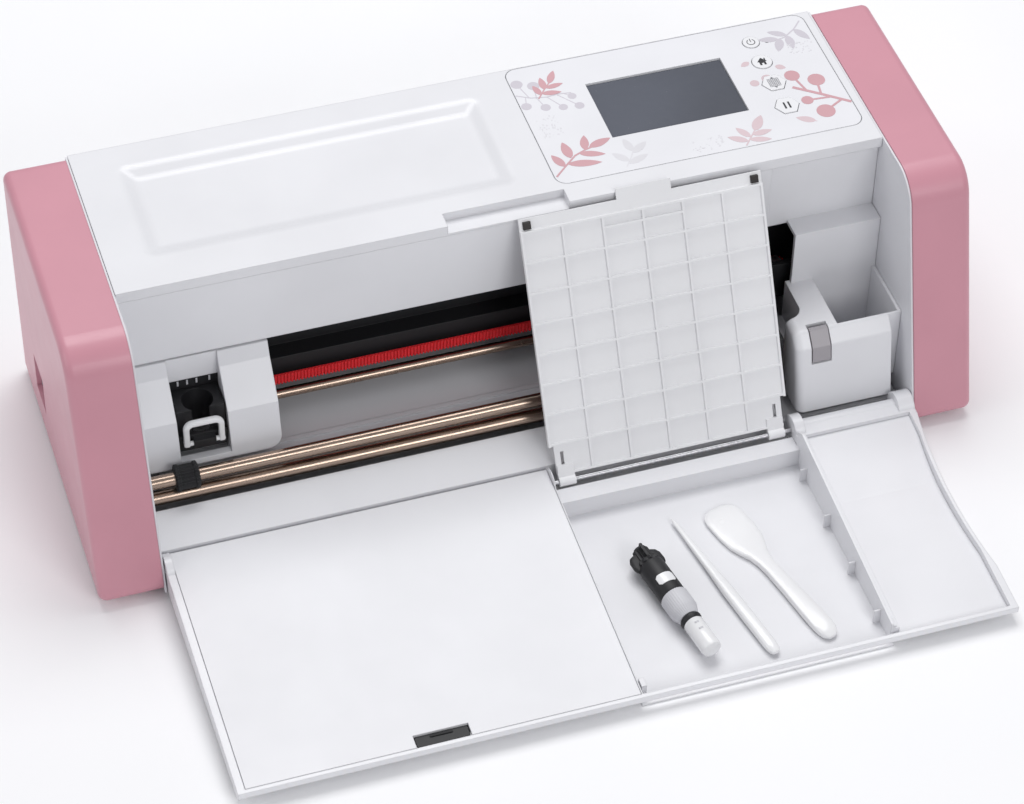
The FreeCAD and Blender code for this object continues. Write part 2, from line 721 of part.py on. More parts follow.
# the front face stands back beside the side wall, where the closed cover's rim passes
rim_recess = block("bin_rim_recess", (218.8, size.plate_half + 1), (-10, 8.8), (15, 80))
lever_y, lever_z, trunnion = 5.5, 56, 1.2
lever_slot = block("bin_lever_slot", (168.5, 181), (-12, 14), (49, 85))
lever_bearings = rod("bin_lever_bearings", "x", (166.5, lever_y, lever_z), 16.5,
                     trunnion + size.running_fit)
node(cut("bin_cut", fuse("bin_solid", bin_block, bin_back, bin_shelf, back_wall),
         cavity, lever_slot, lever_bearings, side_step, side_bend, rim_recess),
     "storage_bin")
node(fuse("sensor_lever",
          profile("sensor_lever_body", (169.1, 180.4),
                  [(-0.6, 50.5), (1.5, 60), (8.4, 68), (11.2, 68), (11.2, 64), (7.5, 50.5)]),
          rod("sensor_trunnions", "x", (167, lever_y, lever_z), 15.5, trunnion)))

# ---------------------------------------------------------------- front cover, opened flat


def at_cover(reach, rise):
    """A point of the open cover: reach towards the user, rise from the hinge axis."""
    return (size.hinge_y - reach, size.hinge_z + rise)


def crown(reach, drop=0.0):
    """Height of the cover's upper side above the hinge axis at some reach."""
    return size.cover_crown - size.cover_fall * reach - drop


def cover_block(name, xs, reaches, rises):
    ys = (size.hinge_y - reaches[1], size.hinge_y - reaches[0])
    zs = (size.hinge_z + rises[0], size.hinge_z + rises[1])
    return block(name, xs, ys, zs)


slab = profile("cover_slab", (-size.cover_half, size.cover_half), [
    at_cover(2, size.cover_under), at_cover(158, size.cover_under),
    at_cover(size.cover_reach, size.cover_under + 3),
    at_cover(size.cover_reach, crown(size.cover_reach)), at_cover(0, crown(0)),
    at_cover(0, -9)])
barrels = [
    rod("cover_barrel_left", "x", (-size.cover_half, size.hinge_y, size.hinge_z),
        size.cover_half + size.tray_left, size.barrel_radius),
    rod("cover_barrel_middle", "x", (size.divider_x, size.hinge_y, size.hinge_z), 6.2,
        size.barrel_radius),
    rod("cover_barrel_low", "x", (size.divider_x, size.hinge_y, size.hinge_z),
        size.cover_half - size.divider_x, 5.2),
    rod("cover_barrel_right", "x", (216.5, size.hinge_y, size.hinge_z),
        size.cover_half - 216.5, size.barrel_radius),
]
panel_xs = (-221.7, 2.2)
panel_cut = profile("cover_panel_cut", (panel_xs[0] - 0.3, panel_xs[1] + 0.3), [
    at_cover(-12, crown(-12, 2)), at_cover(160.5, crown(160.5, 2)),
    at_cover(160.5, 12), at_cover(-12, 12)])
left_room = cover_block("cover_left_room", (panel_xs[0] + 3, panel_xs[1] - 1), (14, 157),
                        (size.cover_under + 2, 8))
# the right edge is drawn in a little, on one large radius
WAIST_REACH, WAIST_DEPTH, WAIST_HALF = 72, 5, 60
waist_radius = (WAIST_HALF ** 2 + WAIST_DEPTH ** 2) / (2 * WAIST_DEPTH)
waist_x = size.cover_half - WAIST_DEPTH + waist_radius


def waist(name, margin):
    return rod(name, "z", (waist_x, size.hinge_y - WAIST_REACH, -5), 60, waist_radius + margin)


right_room = cut("cover_right_room_cut",
                 cover_block("cover_right_room", (size.tray_left, size.tray_right),
                             (size.tray_rear, size.tray_front), (-20, 20)),
                 waist("cover_right_room_waist", 2.2))
lid_room = cover_block("cover_lid_room", (size.tray_left, size.divider_x), (-12, 12),
                       (-9.5, 20))
pin_holes = [rod("cover_pin_hole_%d" % i, "x", (x, size.hinge_y, size.hinge_z), 8,
                 size.hinge_pin + size.running_fit) for i, x in enumerate((-228, 220.5))]
lid_pin_hole = rod("cover_lid_pin_hole", "x", (-1, size.hinge_y, size.hinge_z), 158,
                   size.lid_pin + size.running_fit)
node(cut("cover_cut", fuse("cover_solid", slab, *barrels), panel_cut, left_room, right_room,
         lid_room, lid_pin_hole, waist("cover_waist", 0), *pin_holes), "front_cover")

catch_xs = (-126, -95)      # notch for the latch at the panel's far edge
node(cut("mat_panel_cut",
         profile("mat_panel_plate", panel_xs, [
             at_cover(-7.2, crown(-7.2, 2)), at_cover(160.2, crown(160.2, 2)),
             at_cover(160.2, crown(160.2)), at_cover(-7.2, crown(-7.2))]),
         cover_block("mat_panel_notch", (catch_xs[0] - 0.2, catch_xs[1] + 0.2), (152, 162),
                     (-20, 20))), "mat_panel")

ramp_outline = [
    at_cover(size.tray_rear + 0.1, size.cover_under), at_cover(size.tray_front - 0.1,
                                                               size.cover_under),
    at_cover(size.tray_front - 0.1, -8.4), at_cover(60, -4.4),
    at_cover(size.tray_rear + 0.1, 1.5)]
wall_outline = [
    at_cover(size.tray_rear + 0.1, size.tray_under), at_cover(157, size.tray_under),
    at_cover(157, -1), at_cover(size.tray_rear + 6, 12), at_cover(size.tray_rear + 0.1, 8)]
cheek_outline = [
    at_cover(size.tray_rear + 0.1, size.cover_under), at_cover(157, size.cover_under),
    at_cover(157, -5), at_cover(60, 2), at_cover(size.tray_rear + 0.1, 5)]
tray = [
    cover_block("tray_floor_plate", (size.tray_left + 0.1, size.divider_x + 1.6),
                (size.tray_rear + 0.1, size.tray_front - 0.1), (size.tray_under, size.tray_floor)),
    cover_block("tray_step", (size.tray_left + 0.1, size.divider_x + 1.6),
                (size.tray_rear + 0.1, 15), (size.tray_under, -2)),
    cover_block("tray_hinge_step", (size.tray_left + 0.1, size.divider_x - 0.1),
                (3.8, 15), (-9.4, -2)),
    profile("tray_divider", (size.divider_x, size.divider_x + 1.6), wall_outline),
    profile("tray_cheek", (size.divider_x + 1.6, 156.5), cheek_outline),
    profile("tray_ramp", (size.divider_x + 1.6, size.tray_right - 0.1), ramp_outline),
]
for number in range(4):
    reach = 27 + 38 * number
    tray.append(cover_block("tray_rib_%d" % number, (size.divider_x - 4, size.divider_x + 0.1),
                            (reach, reach + 1.2), (size.tray_floor - 0.2, -5)))
for number, x in enumerate((4, 152)):
    tray.append(cover_block("tray_catch_%d" % number, (x, x + 3), (150, 156),
                            (size.tray_floor - 0.2, -4)))
node(cut("tray_cut", fuse("tray_solid", *tray), waist("tray_waist", 2.3)), "accessory_tray")


pin_span = (221, 228.4)
node(group("cover_hinge_pins",
           *[rod("pin_" + name, "x", (side_span(side, *pin_span)[0], size.hinge_y, size.hinge_z),
                 pin_span[1] - pin_span[0], size.hinge_pin)
             for name, side in (("left", -1), ("right", 1))]))
node(rod("lid_hinge_pin", "x", (0, size.hinge_y, size.hinge_z), 152.6, size.lid_pin))

# ---------------------------------------------------------------- compartment lid, leaning back
# drawn flat with Y from the hinge to the tab and Z towards the user, then leaned back

lid_right = size.lid_left + size.lid_width
lid_face = size.lid_back + size.lid_skin
rib_top = lid_face + size.lid_rib
lid_pieces = [
    block("lid_plate", (size.lid_left, lid_right), (4.2, size.lid_reach), (size.lid_back, lid_face)),
    block("lid_tab", (63, 96), (size.lid_reach - 4, size.lid_reach + 6.5),
          (size.lid_back, lid_face)),
]
LID_COLUMNS, LID_ROWS, RIB = 6, 8, 1.4
for column in range(LID_COLUMNS + 1):
    left = size.lid_left + (size.lid_width - RIB) * (column / LID_COLUMNS)
    lid_pieces.append(block("lid_rib_x%d" % column, (left, left + RIB), (5, size.lid_reach - 7),
                            (lid_face - 0.2, rib_top)))
for line in range(LID_ROWS + 1):
    low = 4.2 + (size.lid_reach - 12.6) * (line / LID_ROWS)
    lid_pieces.append(block("lid_rib_y%d" % line, (size.lid_left, lid_right), (low, low + RIB),
                            (lid_face - 0.2, rib_top)))
cell = (size.lid_width - RIB) / LID_COLUMNS
lid_pieces.append(block("lid_bar", (size.lid_left + 2 * cell, size.lid_left + 4 * cell),
                        (size.lid_reach - 15, size.lid_reach - 13.6), (lid_face - 0.2, rib_top)))
for end, x in (("a", size.lid_left + 3.4), ("b", lid_right - 13.4)):
    lid_pieces.append(rod("lid_knuckle_" + end, "x", (x, 0, 0), 10, 3))
    lid_pieces.append(block("lid_arm_" + end, (x, x + 10), (0, 10), (size.lid_back, rib_top)))
lid_bore = rod("lid_bore", "x", (0, 0, 0), 160, size.lid_pin + size.running_fit)
MAGNETS = (size.lid_left + 2.2, lid_right - 6.8)
magnet_seats = [block("magnet_seat_%d" % i, (x, x + 4.6), (size.lid_reach - 6.3,
                                                          size.lid_reach - 1.7),
                      (lid_face - 0.5, rib_top + 1)) for i, x in enumerate(MAGNETS)]
lid_steps = [block("lid_step_%d" % i, (x, x + 3.2), (3.5, 22), (-5, 5))
             for i, x in enumerate((size.lid_left - 0.1, lid_right - 3.1))]
lid_slots = [block("lid_slot_%d" % i, (x, x + 2), (10, 18), (-5, 5))
             for i, x in enumerate((size.lid_left + 6.5, lid_right - 8.5))]
compartment_lid = cut("lid_cut", fuse("lid_solid", *lid_pieces), lid_bore, *lid_steps,
                      *lid_slots, *magnet_seats)
lid_magnets = group("lid_magnets", *[
    block("magnet_%d" % i, (x + 0.1, x + 4.5), (size.lid_reach - 6.2, size.lid_reach - 1.8),
          (lid_face - 0.5, rib_top)) for i, x in enumerate(MAGNETS)])
lean = Rotation(Vector(1, 0, 0), SIZES["lid_lean"])
for item in (compartment_lid, lid_magnets):
    locate(item, 0, size.hinge_y, size.hinge_z, lean)
    bind(item, "Placement.Rotation.Angle", size.lid_lean)
node(compartment_lid, "compartment_lid")
node(lid_magnets)

# ---------------------------------------------------------------- tools lying in the compartment

tray_top = size.hinge_z + size.tray_floor + 0.05


def lay(item, x, y, z, heading):
    """Turn a tool drawn along +X and lay it in the tray, heading in degrees from +X."""
    locate(item, x, y, z, Rotation(Vector(0, 0, 1), heading))


blade_axis = tray_top + 8.5
BLADE_AT, BLADE_HEADING = (38.9, -89.8), -80
barrel = fuse("blade_holder_solid",
              rod("blade_barrel", "x", (0, 0, 0), 26, 7.9),
              rod("blade_ring", "x", (26, 0, 0), 13, 8.4),
              cone("blade_ring_cone", "x", (39, 0, 0), 5, 8.4, 6.2),
              rod("blade_collar", "x", (44, 0, 0), 4, 5))
node(barrel, "blade_holder")
lay(barrel, BLADE_AT[0], BLADE_AT[1], blade_axis, BLADE_HEADING)
tip = fuse("blade_tip", rod("tip_cap", "x", (48, 0, 0), 21, 6),
           cone("tip_end", "x", (69, 0, 0), 2, 6, 5))
node(tip, "blade_tip_cap")
lay(tip, BLADE_AT[0], BLADE_AT[1], blade_axis, BLADE_HEADING)
knob = fuse("blade_knob_solid", rod("knob_core", "x", (-11, 0, 0), 11, 6.5),
            rod("knob_flange", "x", (-3.2, 0, 0), 3.2, 7.4),
            block("knob_fin", (-11, 0), (-12.5, 5), (-5.5, 3)))
node(knob, "blade_holder_knob")
lay(knob, BLADE_AT[0], BLADE_AT[1], blade_axis, BLADE_HEADING)

blade = fuse("spatula_solid",
             block("spatula_handle", (48, 116), (-4.8, 4.8), (0, 5)),
             block("spatula_blade", (0, 38), (-12, 12), (0, 1.6)),
             block("spatula_neck", (36, 50), (-7, 7), (0, 3)))
node(blade, "spatula")
lay(blade, 92, -52, tray_top, -75.5)
hook = fuse("hook_solid", cone("hook_shaft", "x", (0, 0, 2.8), 55, 0.8, 2.7),
            rod("hook_grip", "x", (55, 0, 2.8), 60, 2.7))
node(hook, "hook_tool")
lay(hook, 64.5, -54, tray_top, -79)

# ---------------------------------------------------------------- check and write

doc.recompute()
problems = []
for item in doc.Objects:
    if "Invalid" in item.State or "Error" in item.State:
        problems.append("%s is %s" % (item.Label, item.State))
for item in NODES:
    if item.Shape.isNull() or not item.Shape.isValid() or not item.Shape.Solids:
        problems.append("%s has no valid shape" % item.Label)
if problems:
    raise SystemExit("\n".join(problems))
os.makedirs("parts", exist_ok=True)
for item in NODES:
    item.Shape.exportStep("parts/%s.step" % item.Label)
    box = item.Shape.BoundBox
    print("%-20s %2d solids %9.0f mm3  x %7.1f %7.1f  y %7.1f %7.1f  z %6.1f %6.1f" % (
        item.Label, len(item.Shape.Solids), item.Shape.Volume,
        box.XMin, box.XMax, box.YMin, box.YMax, box.ZMin, box.ZMax))
print(len(NODES), "nodes")
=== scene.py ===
"""Looks of the die cutting machine: materials, printed decor, fine pieces, floor, light and camera."""
import json
import math
import random

import bmesh
import bpy
from mathutils import Matrix, Vector


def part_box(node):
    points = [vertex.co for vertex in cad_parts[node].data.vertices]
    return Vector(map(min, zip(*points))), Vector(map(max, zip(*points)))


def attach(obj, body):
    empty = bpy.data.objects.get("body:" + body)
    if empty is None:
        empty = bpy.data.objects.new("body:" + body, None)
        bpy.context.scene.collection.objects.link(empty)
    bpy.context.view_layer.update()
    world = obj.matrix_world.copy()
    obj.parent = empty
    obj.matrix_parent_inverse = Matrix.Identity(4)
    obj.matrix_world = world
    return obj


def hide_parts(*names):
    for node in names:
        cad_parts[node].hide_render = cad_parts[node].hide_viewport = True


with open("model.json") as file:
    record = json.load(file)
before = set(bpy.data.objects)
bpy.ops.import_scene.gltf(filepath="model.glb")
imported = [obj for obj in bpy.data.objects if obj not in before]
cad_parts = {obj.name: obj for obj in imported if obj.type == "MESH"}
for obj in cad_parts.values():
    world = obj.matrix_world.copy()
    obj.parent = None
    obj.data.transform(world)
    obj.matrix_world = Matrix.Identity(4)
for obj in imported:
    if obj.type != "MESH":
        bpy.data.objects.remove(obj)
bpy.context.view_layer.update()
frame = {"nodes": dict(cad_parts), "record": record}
NODES = frame["nodes"]
MM = 0.001
random.seed(7)


# ---------------------------------------------------------------- materials

def new_material(name):
    """An empty node material: the material, its node tree, its Principled shader and a builder."""
    material = bpy.data.materials.new(name)
    material.use_nodes = True
    tree = material.node_tree
    tree.nodes.clear()
    output = tree.nodes.new("ShaderNodeOutputMaterial")
    shader = tree.nodes.new("ShaderNodeBsdfPrincipled")
    tree.links.new(shader.outputs["BSDF"], output.inputs["Surface"])
    return material, tree, shader


def object_noise(tree, scale, detail=3.0, stretch=(1, 1, 1)):
    """Noise fixed to the object, scale in features per metre."""
    coordinates = tree.nodes.new("ShaderNodeTexCoord")
    mapping = tree.nodes.new("ShaderNodeMapping")
    mapping.inputs["Scale"].default_value = stretch
    noise = tree.nodes.new("ShaderNodeTexNoise")
    noise.inputs["Scale"].default_value = scale
    noise.inputs["Detail"].default_value = detail
    tree.links.new(coordinates.outputs["Object"], mapping.inputs["Vector"])
    tree.links.new(mapping.outputs["Vector"], noise.inputs["Vector"])
    return noise.outputs["Fac"]


def ramp(tree, value, low, high, at=(0.35, 0.65)):
    """Turn a 0-1 value into a blend of two colours."""
    node = tree.nodes.new("ShaderNodeValToRGB")
    node.color_ramp.elements[0].position = at[0]
    node.color_ramp.elements[1].position = at[1]
    node.color_ramp.elements[0].color = (*low, 1)
    node.color_ramp.elements[1].color = (*high, 1)
    tree.links.new(value, node.inputs["Fac"])
    return node.outputs["Color"]


def spread(tree, value, low, high):
    """Map a 0-1 value to low-high."""
    node = tree.nodes.new("ShaderNodeMapRange")
    node.inputs["To Min"].default_value = low
    node.inputs["To Max"].default_value = high
    tree.links.new(value, node.inputs["Value"])
    return node.outputs["Result"]


def relief(tree, shader, height, strength, distance, edge=0.0):
    """Bump from a height, over edges softened by a small radius in metres."""
    bump = tree.nodes.new("ShaderNodeBump")
    bump.inputs["Strength"].default_value = strength
    bump.inputs["Distance"].default_value = distance
    tree.links.new(height, bump.inputs["Height"])
    if edge:
        bevel = tree.nodes.new("ShaderNodeBevel")
        bevel.samples = 6
        bevel.inputs["Radius"].default_value = edge
        tree.links.new(bevel.outputs["Normal"], bump.inputs["Normal"])
    tree.links.new(bump.outputs["Normal"], shader.inputs["Normal"])


def shade(colour, factor):
    """A colour made lighter or darker."""
    return tuple(min(1.0, channel * factor) for channel in colour)


def plastic(name, colour, rough, grain=2600, strength=0.12, edge=0.0006, mottle=0.03, coat=0.0):
    """Moulded plastic: fine grain, faint flow mottling and slightly uneven gloss."""
    material, tree, shader = new_material(name)
    cloud = object_noise(tree, 14, 4)
    tree.links.new(ramp(tree, cloud, shade(colour, 1 - mottle), shade(colour, 1 + mottle * 0.5)),
                   shader.inputs["Base Color"])
    haze = object_noise(tree, 60, 5)
    tree.links.new(spread(tree, haze, rough - 0.06, rough + 0.06), shader.inputs["Roughness"])
    relief(tree, shader, object_noise(tree, grain, 2), strength, 0.00006, edge)
    shader.inputs["Specular IOR Level"].default_value = 0.45
    if coat:
        shader.inputs["Coat Weight"].default_value = coat
        shader.inputs["Coat Roughness"].default_value = 0.12
    return material


def turned_metal(name, colour, rough, along, fine=900):
    """Ground or turned metal, its marks drawn out along one axis."""
    material, tree, shader = new_material(name)
    stretch = [1.0, 1.0, 1.0]
    stretch["xyz".index(along)] = 0.04
    marks = object_noise(tree, fine, 4, stretch)
    tree.links.new(ramp(tree, marks, shade(colour, 0.82), shade(colour, 1.08)),
                   shader.inputs["Base Color"])
    tree.links.new(spread(tree, object_noise(tree, 120, 3), rough - 0.05, rough + 0.08),
                   shader.inputs["Roughness"])
    shader.inputs["Metallic"].default_value = 1.0
    relief(tree, shader, marks, 0.15, 0.00005)
    return material


def rubber(name, colour, rough=0.72):
    """Speckled matt rubber."""
    material, tree, shader = new_material(name)
    speckle = object_noise(tree, 1800, 3)
    tree.links.new(ramp(tree, speckle, shade(colour, 0.75), shade(colour, 1.35)),
                   shader.inputs["Base Color"])
    tree.links.new(spread(tree, object_noise(tree, 90, 3), rough - 0.08, rough + 0.08),
                   shader.inputs["Roughness"])
    relief(tree, shader, speckle, 0.35, 0.0001)
    return material


def smoked_glass(name, colour):
    """Screen: dark slate with a painted reflection that lightens it a little towards one corner, under a
    clear coat.
    """
    material, tree, shader = new_material(name)
    # painted reflection: broad noise lightens and darkens the base colour, standing in for light on the
    # glass
    painted_sheen = object_noise(tree, 9, 1)
    tree.links.new(ramp(tree, painted_sheen, shade(colour, 0.85), shade(colour, 1.15)),
                   shader.inputs["Base Color"])
    tree.links.new(spread(tree, object_noise(tree, 300, 4), 0.2, 0.3), shader.inputs["Roughness"])
    relief(tree, shader, object_noise(tree, 2200, 1), 0.03, 0.00003)
    shader.inputs["Coat Weight"].default_value = 0.5
    shader.inputs["Coat Roughness"].default_value = 0.05
    return material


PINK = (0.60, 0.275, 0.335)
MATERIALS = {
    "pink_shell": plastic("pink_shell", PINK, 0.38, grain=1500, strength=0.10, edge=0.001,
                          mottle=0.04, coat=0.15),
    "white_shell": plastic("white_shell", (0.76, 0.76, 0.785), 0.34, edge=0.0009, coat=0.2),
    "liner_white": plastic("liner_white", (0.74, 0.74, 0.77), 0.5),
    "panel_print": plastic("panel_print", (0.80, 0.80, 0.83), 0.22, grain=900, strength=0.03,
                           coat=0.4),
    "screen_glass": smoked_glass("screen_glass", (0.075, 0.082, 0.105)),
    "key_plastic": plastic("key_plastic", (0.82, 0.82, 0.84), 0.28, strength=0.05, coat=0.3),
    "black_plastic": plastic("black_plastic", (0.012, 0.012, 0.014), 0.5, strength=0.25),
    "inner_white": plastic("inner_white", (0.76, 0.76, 0.785), 0.4, edge=0.0007, coat=0.1),
    "lid_grey": plastic("lid_grey", (0.84, 0.84, 0.855), 0.42, edge=0.0004),
    "rod_steel": turned_metal("rod_steel", (0.40, 0.305, 0.245), 0.24, "x"),
    "black_rubber": rubber("black_rubber", (0.014, 0.014, 0.016)),
    "belt_red": rubber("belt_red", (0.72, 0.022, 0.03), 0.5),
    "motor_metal": plastic("motor_metal", (0.05, 0.05, 0.055), 0.4, strength=0.3),
    "bush_bronze": turned_metal("bush_bronze", (0.50, 0.36, 0.18), 0.35, "x"),
    "pulley_metal": turned_metal("pulley_metal", (0.62, 0.62, 0.64), 0.3, "z"),
    "board_green": plastic("board_green", (0.02, 0.12, 0.05), 0.35, grain=700, strength=0.3),
    "lever_grey": plastic("lever_grey", (0.36, 0.34, 0.36), 0.4),
    "magnet_black": plastic("magnet_black", (0.02, 0.016, 0.015), 0.35, strength=0.3),
    "screw_steel": turned_metal("screw_steel", (0.5, 0.5, 0.52), 0.35, "z"),
    "tool_white": plastic("tool_white", (0.82, 0.82, 0.83), 0.25, strength=0.05, coat=0.3),
    "holder_grey": plastic("holder_grey", (0.58, 0.58, 0.61), 0.4, strength=0.2),
    "led_lens": smoked_glass("led_lens", (0.01, 0.01, 0.012)),
}

for entry in frame["record"]["subparts"]:
    if entry["node"] in NODES:
        mesh = NODES[entry["node"]].data
        mesh.materials.clear()
        mesh.materials.append(MATERIALS[entry["material_slot"]])


# ---------------------------------------------------------------- piece builders, in millimetres

INKS = {
    "rose_ink": plastic("rose_ink", (0.62, 0.36, 0.39), 0.3, edge=0, mottle=0.06),
    "pale_rose_ink": plastic("pale_rose_ink", (0.68, 0.54, 0.57), 0.3, edge=0, mottle=0.06),
    "lilac_ink": plastic("lilac_ink", (0.60, 0.57, 0.62), 0.3, edge=0, mottle=0.05),
    "dark_ink": plastic("dark_ink", (0.03, 0.03, 0.035), 0.35, edge=0, mottle=0.1),
    "mist_ink": plastic("mist_ink", (0.70, 0.69, 0.72), 0.3, edge=0, mottle=0.04),
    "grey_ink": plastic("grey_ink", (0.25, 0.25, 0.27), 0.35, edge=0, mottle=0.1),
}
SHARP = math.radians(35)


def piece(name, verts, faces, slot, body, nodes=(), material=None):
    """A mesh piece from points in millimetres, riding on a body and standing for CAD nodes."""
    mesh = bpy.data.meshes.new(name)
    mesh.from_pydata([Vector(point) * MM for point in verts], [], faces)
    shape = bmesh.new()
    shape.from_mesh(mesh)
    bmesh.ops.remove_doubles(shape, verts=shape.verts, dist=1e-7)
    bmesh.ops.recalc_face_normals(shape, faces=shape.faces)
    shape.to_mesh(mesh)
    shape.free()
    for face in mesh.polygons:
        face.use_smooth = True
    mesh.set_sharp_from_angle(angle=SHARP)
    mesh.materials.append(material or MATERIALS[slot])
    item = bpy.data.objects.new(name, mesh)
    bpy.context.scene.collection.objects.link(item)
    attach(item, body)
    if nodes:
        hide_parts(*nodes)
    return item


def joined(*solids):
    """Several (points, faces) solids as one (points, faces) pair."""
    verts, faces = [], []
    for points, sides in solids:
        base = len(verts)
        verts += points
        faces += [tuple(base + corner for corner in side) for side in sides]
    return verts, faces


def stepped(solids, rise):
    """Lift the upper side of each flat stroke a little over the one before, so none coincide."""
    return [([(x, y, z + rise * order if z > solid[0][0][2] else z) for x, y, z in solid[0]],
             solid[1]) for order, solid in enumerate(solids)]


def placed(solid, matrix):
    points, faces = solid
    return [matrix @ Vector(point) for point in points], faces


def plate(outline, low, high):
    """A flat outline of (x, y) points given a thickness from z low to z high."""
    count = len(outline)
    verts = [(x, y, z) for z in (low, high) for x, y in outline]
    faces = [tuple(range(count)), tuple(range(count, 2 * count))]
    faces += [(i, (i + 1) % count, count + (i + 1) % count, count + i) for i in range(count)]
    return verts, faces


def lofted(rings):
    """A closed skin over rings of equal point counts, capped at both ends."""
    count = len(rings[0])
    verts = [point for ring in rings for point in ring]
    faces = [tuple(range(count)), tuple(range(len(verts) - count, len(verts)))]
    for line in range(len(rings) - 1):
        a, b = line * count, (line + 1) * count
        faces += [(a + i, a + (i + 1) % count, b + (i + 1) % count, b + i) for i in range(count)]
    return verts, faces


def turned(profile, sides=48, flutes=0, depth=0.0):
    """A body turned about X from (x, radius) pairs, with optional flutes round it."""
    rings = []
    for x, radius in profile:
        ring = []
        for i in range(sides):
            angle = 2 * math.pi * i / sides
            r = radius
            if flutes and radius > 4:
                r -= depth * (0.5 - 0.5 * math.cos(flutes * angle)) ** 0.5
            ring.append((x, r * math.cos(angle), r * math.sin(angle)))
        rings.append(ring)
    return lofted(rings)


def disc(x, y, radius, low, high, sides=28):
    """A flat round spot."""
    return plate([(x + radius * math.cos(2 * math.pi * i / sides),
                   y + radius * math.sin(2 * math.pi * i / sides))
                  for i in range(sides)], low, high)


def bar(start, end, width, low, high, taper=1.0):
    """A straight stroke between two points."""
    a, b = Vector(start), Vector(end)
    side = (b - a).orthogonal().normalized() * width / 2
    return plate([tuple(a - side), tuple(b - side * taper), tuple(b + side * taper),
                  tuple(a + side)], low, high)


def round_box(xs, ys, zs, radius, steps=4):
    """A block whose upright edges are rounded."""
    outline = []
    for x, y, start in ((xs[1] - radius, ys[1] - radius, 0), (xs[0] + radius, ys[1] - radius, 90),
                        (xs[0] + radius, ys[0] + radius, 180), (xs[1] - radius, ys[0] + radius, 270)):
        for i in range(steps + 1):
            angle = math.radians(start + 90 * i / steps)
            outline.append((x + radius * math.cos(angle), y + radius * math.sin(angle)))
    return plate(outline, *zs)


# ---------------------------------------------------------------- printed sprigs and keys

PANEL_TOP = 160.0
KEY_TOP = 160.5
INK = (PANEL_TOP + 0.01, PANEL_TOP + 0.05)


def leaf(base, heading, length, width, level=INK):
    """A pointed leaf lying from its base along a heading in degrees."""
    steps = 9
    along = Vector((math.cos(math.radians(heading)), math.sin(math.radians(heading))))
    side = Vector((-along.y, along.x))
    outline = []
    for sign in (1, -1):
        row = []
        for i in range(steps + 1):
            t = i / steps
            half = width / 2 * math.sin(math.pi * t ** 0.85) ** 0.8 if 0 < i < steps else 0
            row.append(tuple(Vector(base) + along * length * t + side * sign * half))
        outline += row if sign == 1 else row[-2:0:-1]
    return plate(outline, *level)


def sprig(points, leaves, level=INK, width=0.9):
    """A bent stem with leaves: each leaf is (x, y, heading, length, width)."""
    solids = [bar(points[i], points[i + 1], width, *level, taper=0.85)
              for i in range(len(points) - 1)]
    return solids + [leaf((x, y), heading, length, wide, level)
                     for x, y, heading, length, wide in leaves]


def berries(points, twigs, level=INK, width=1.0):
    """A stem with round berries on twigs: each twig is (x0, y0, x1, y1, radius)."""
    solids = [bar(points[i], points[i + 1], width, *level) for i in range(len(points) - 1)]
    for x0, y0, x1, y1, radius in twigs:
        solids += [bar((x0, y0), (x1, y1), width * 0.7, *level), disc(x1, y1, radius, *level)]
    return solids


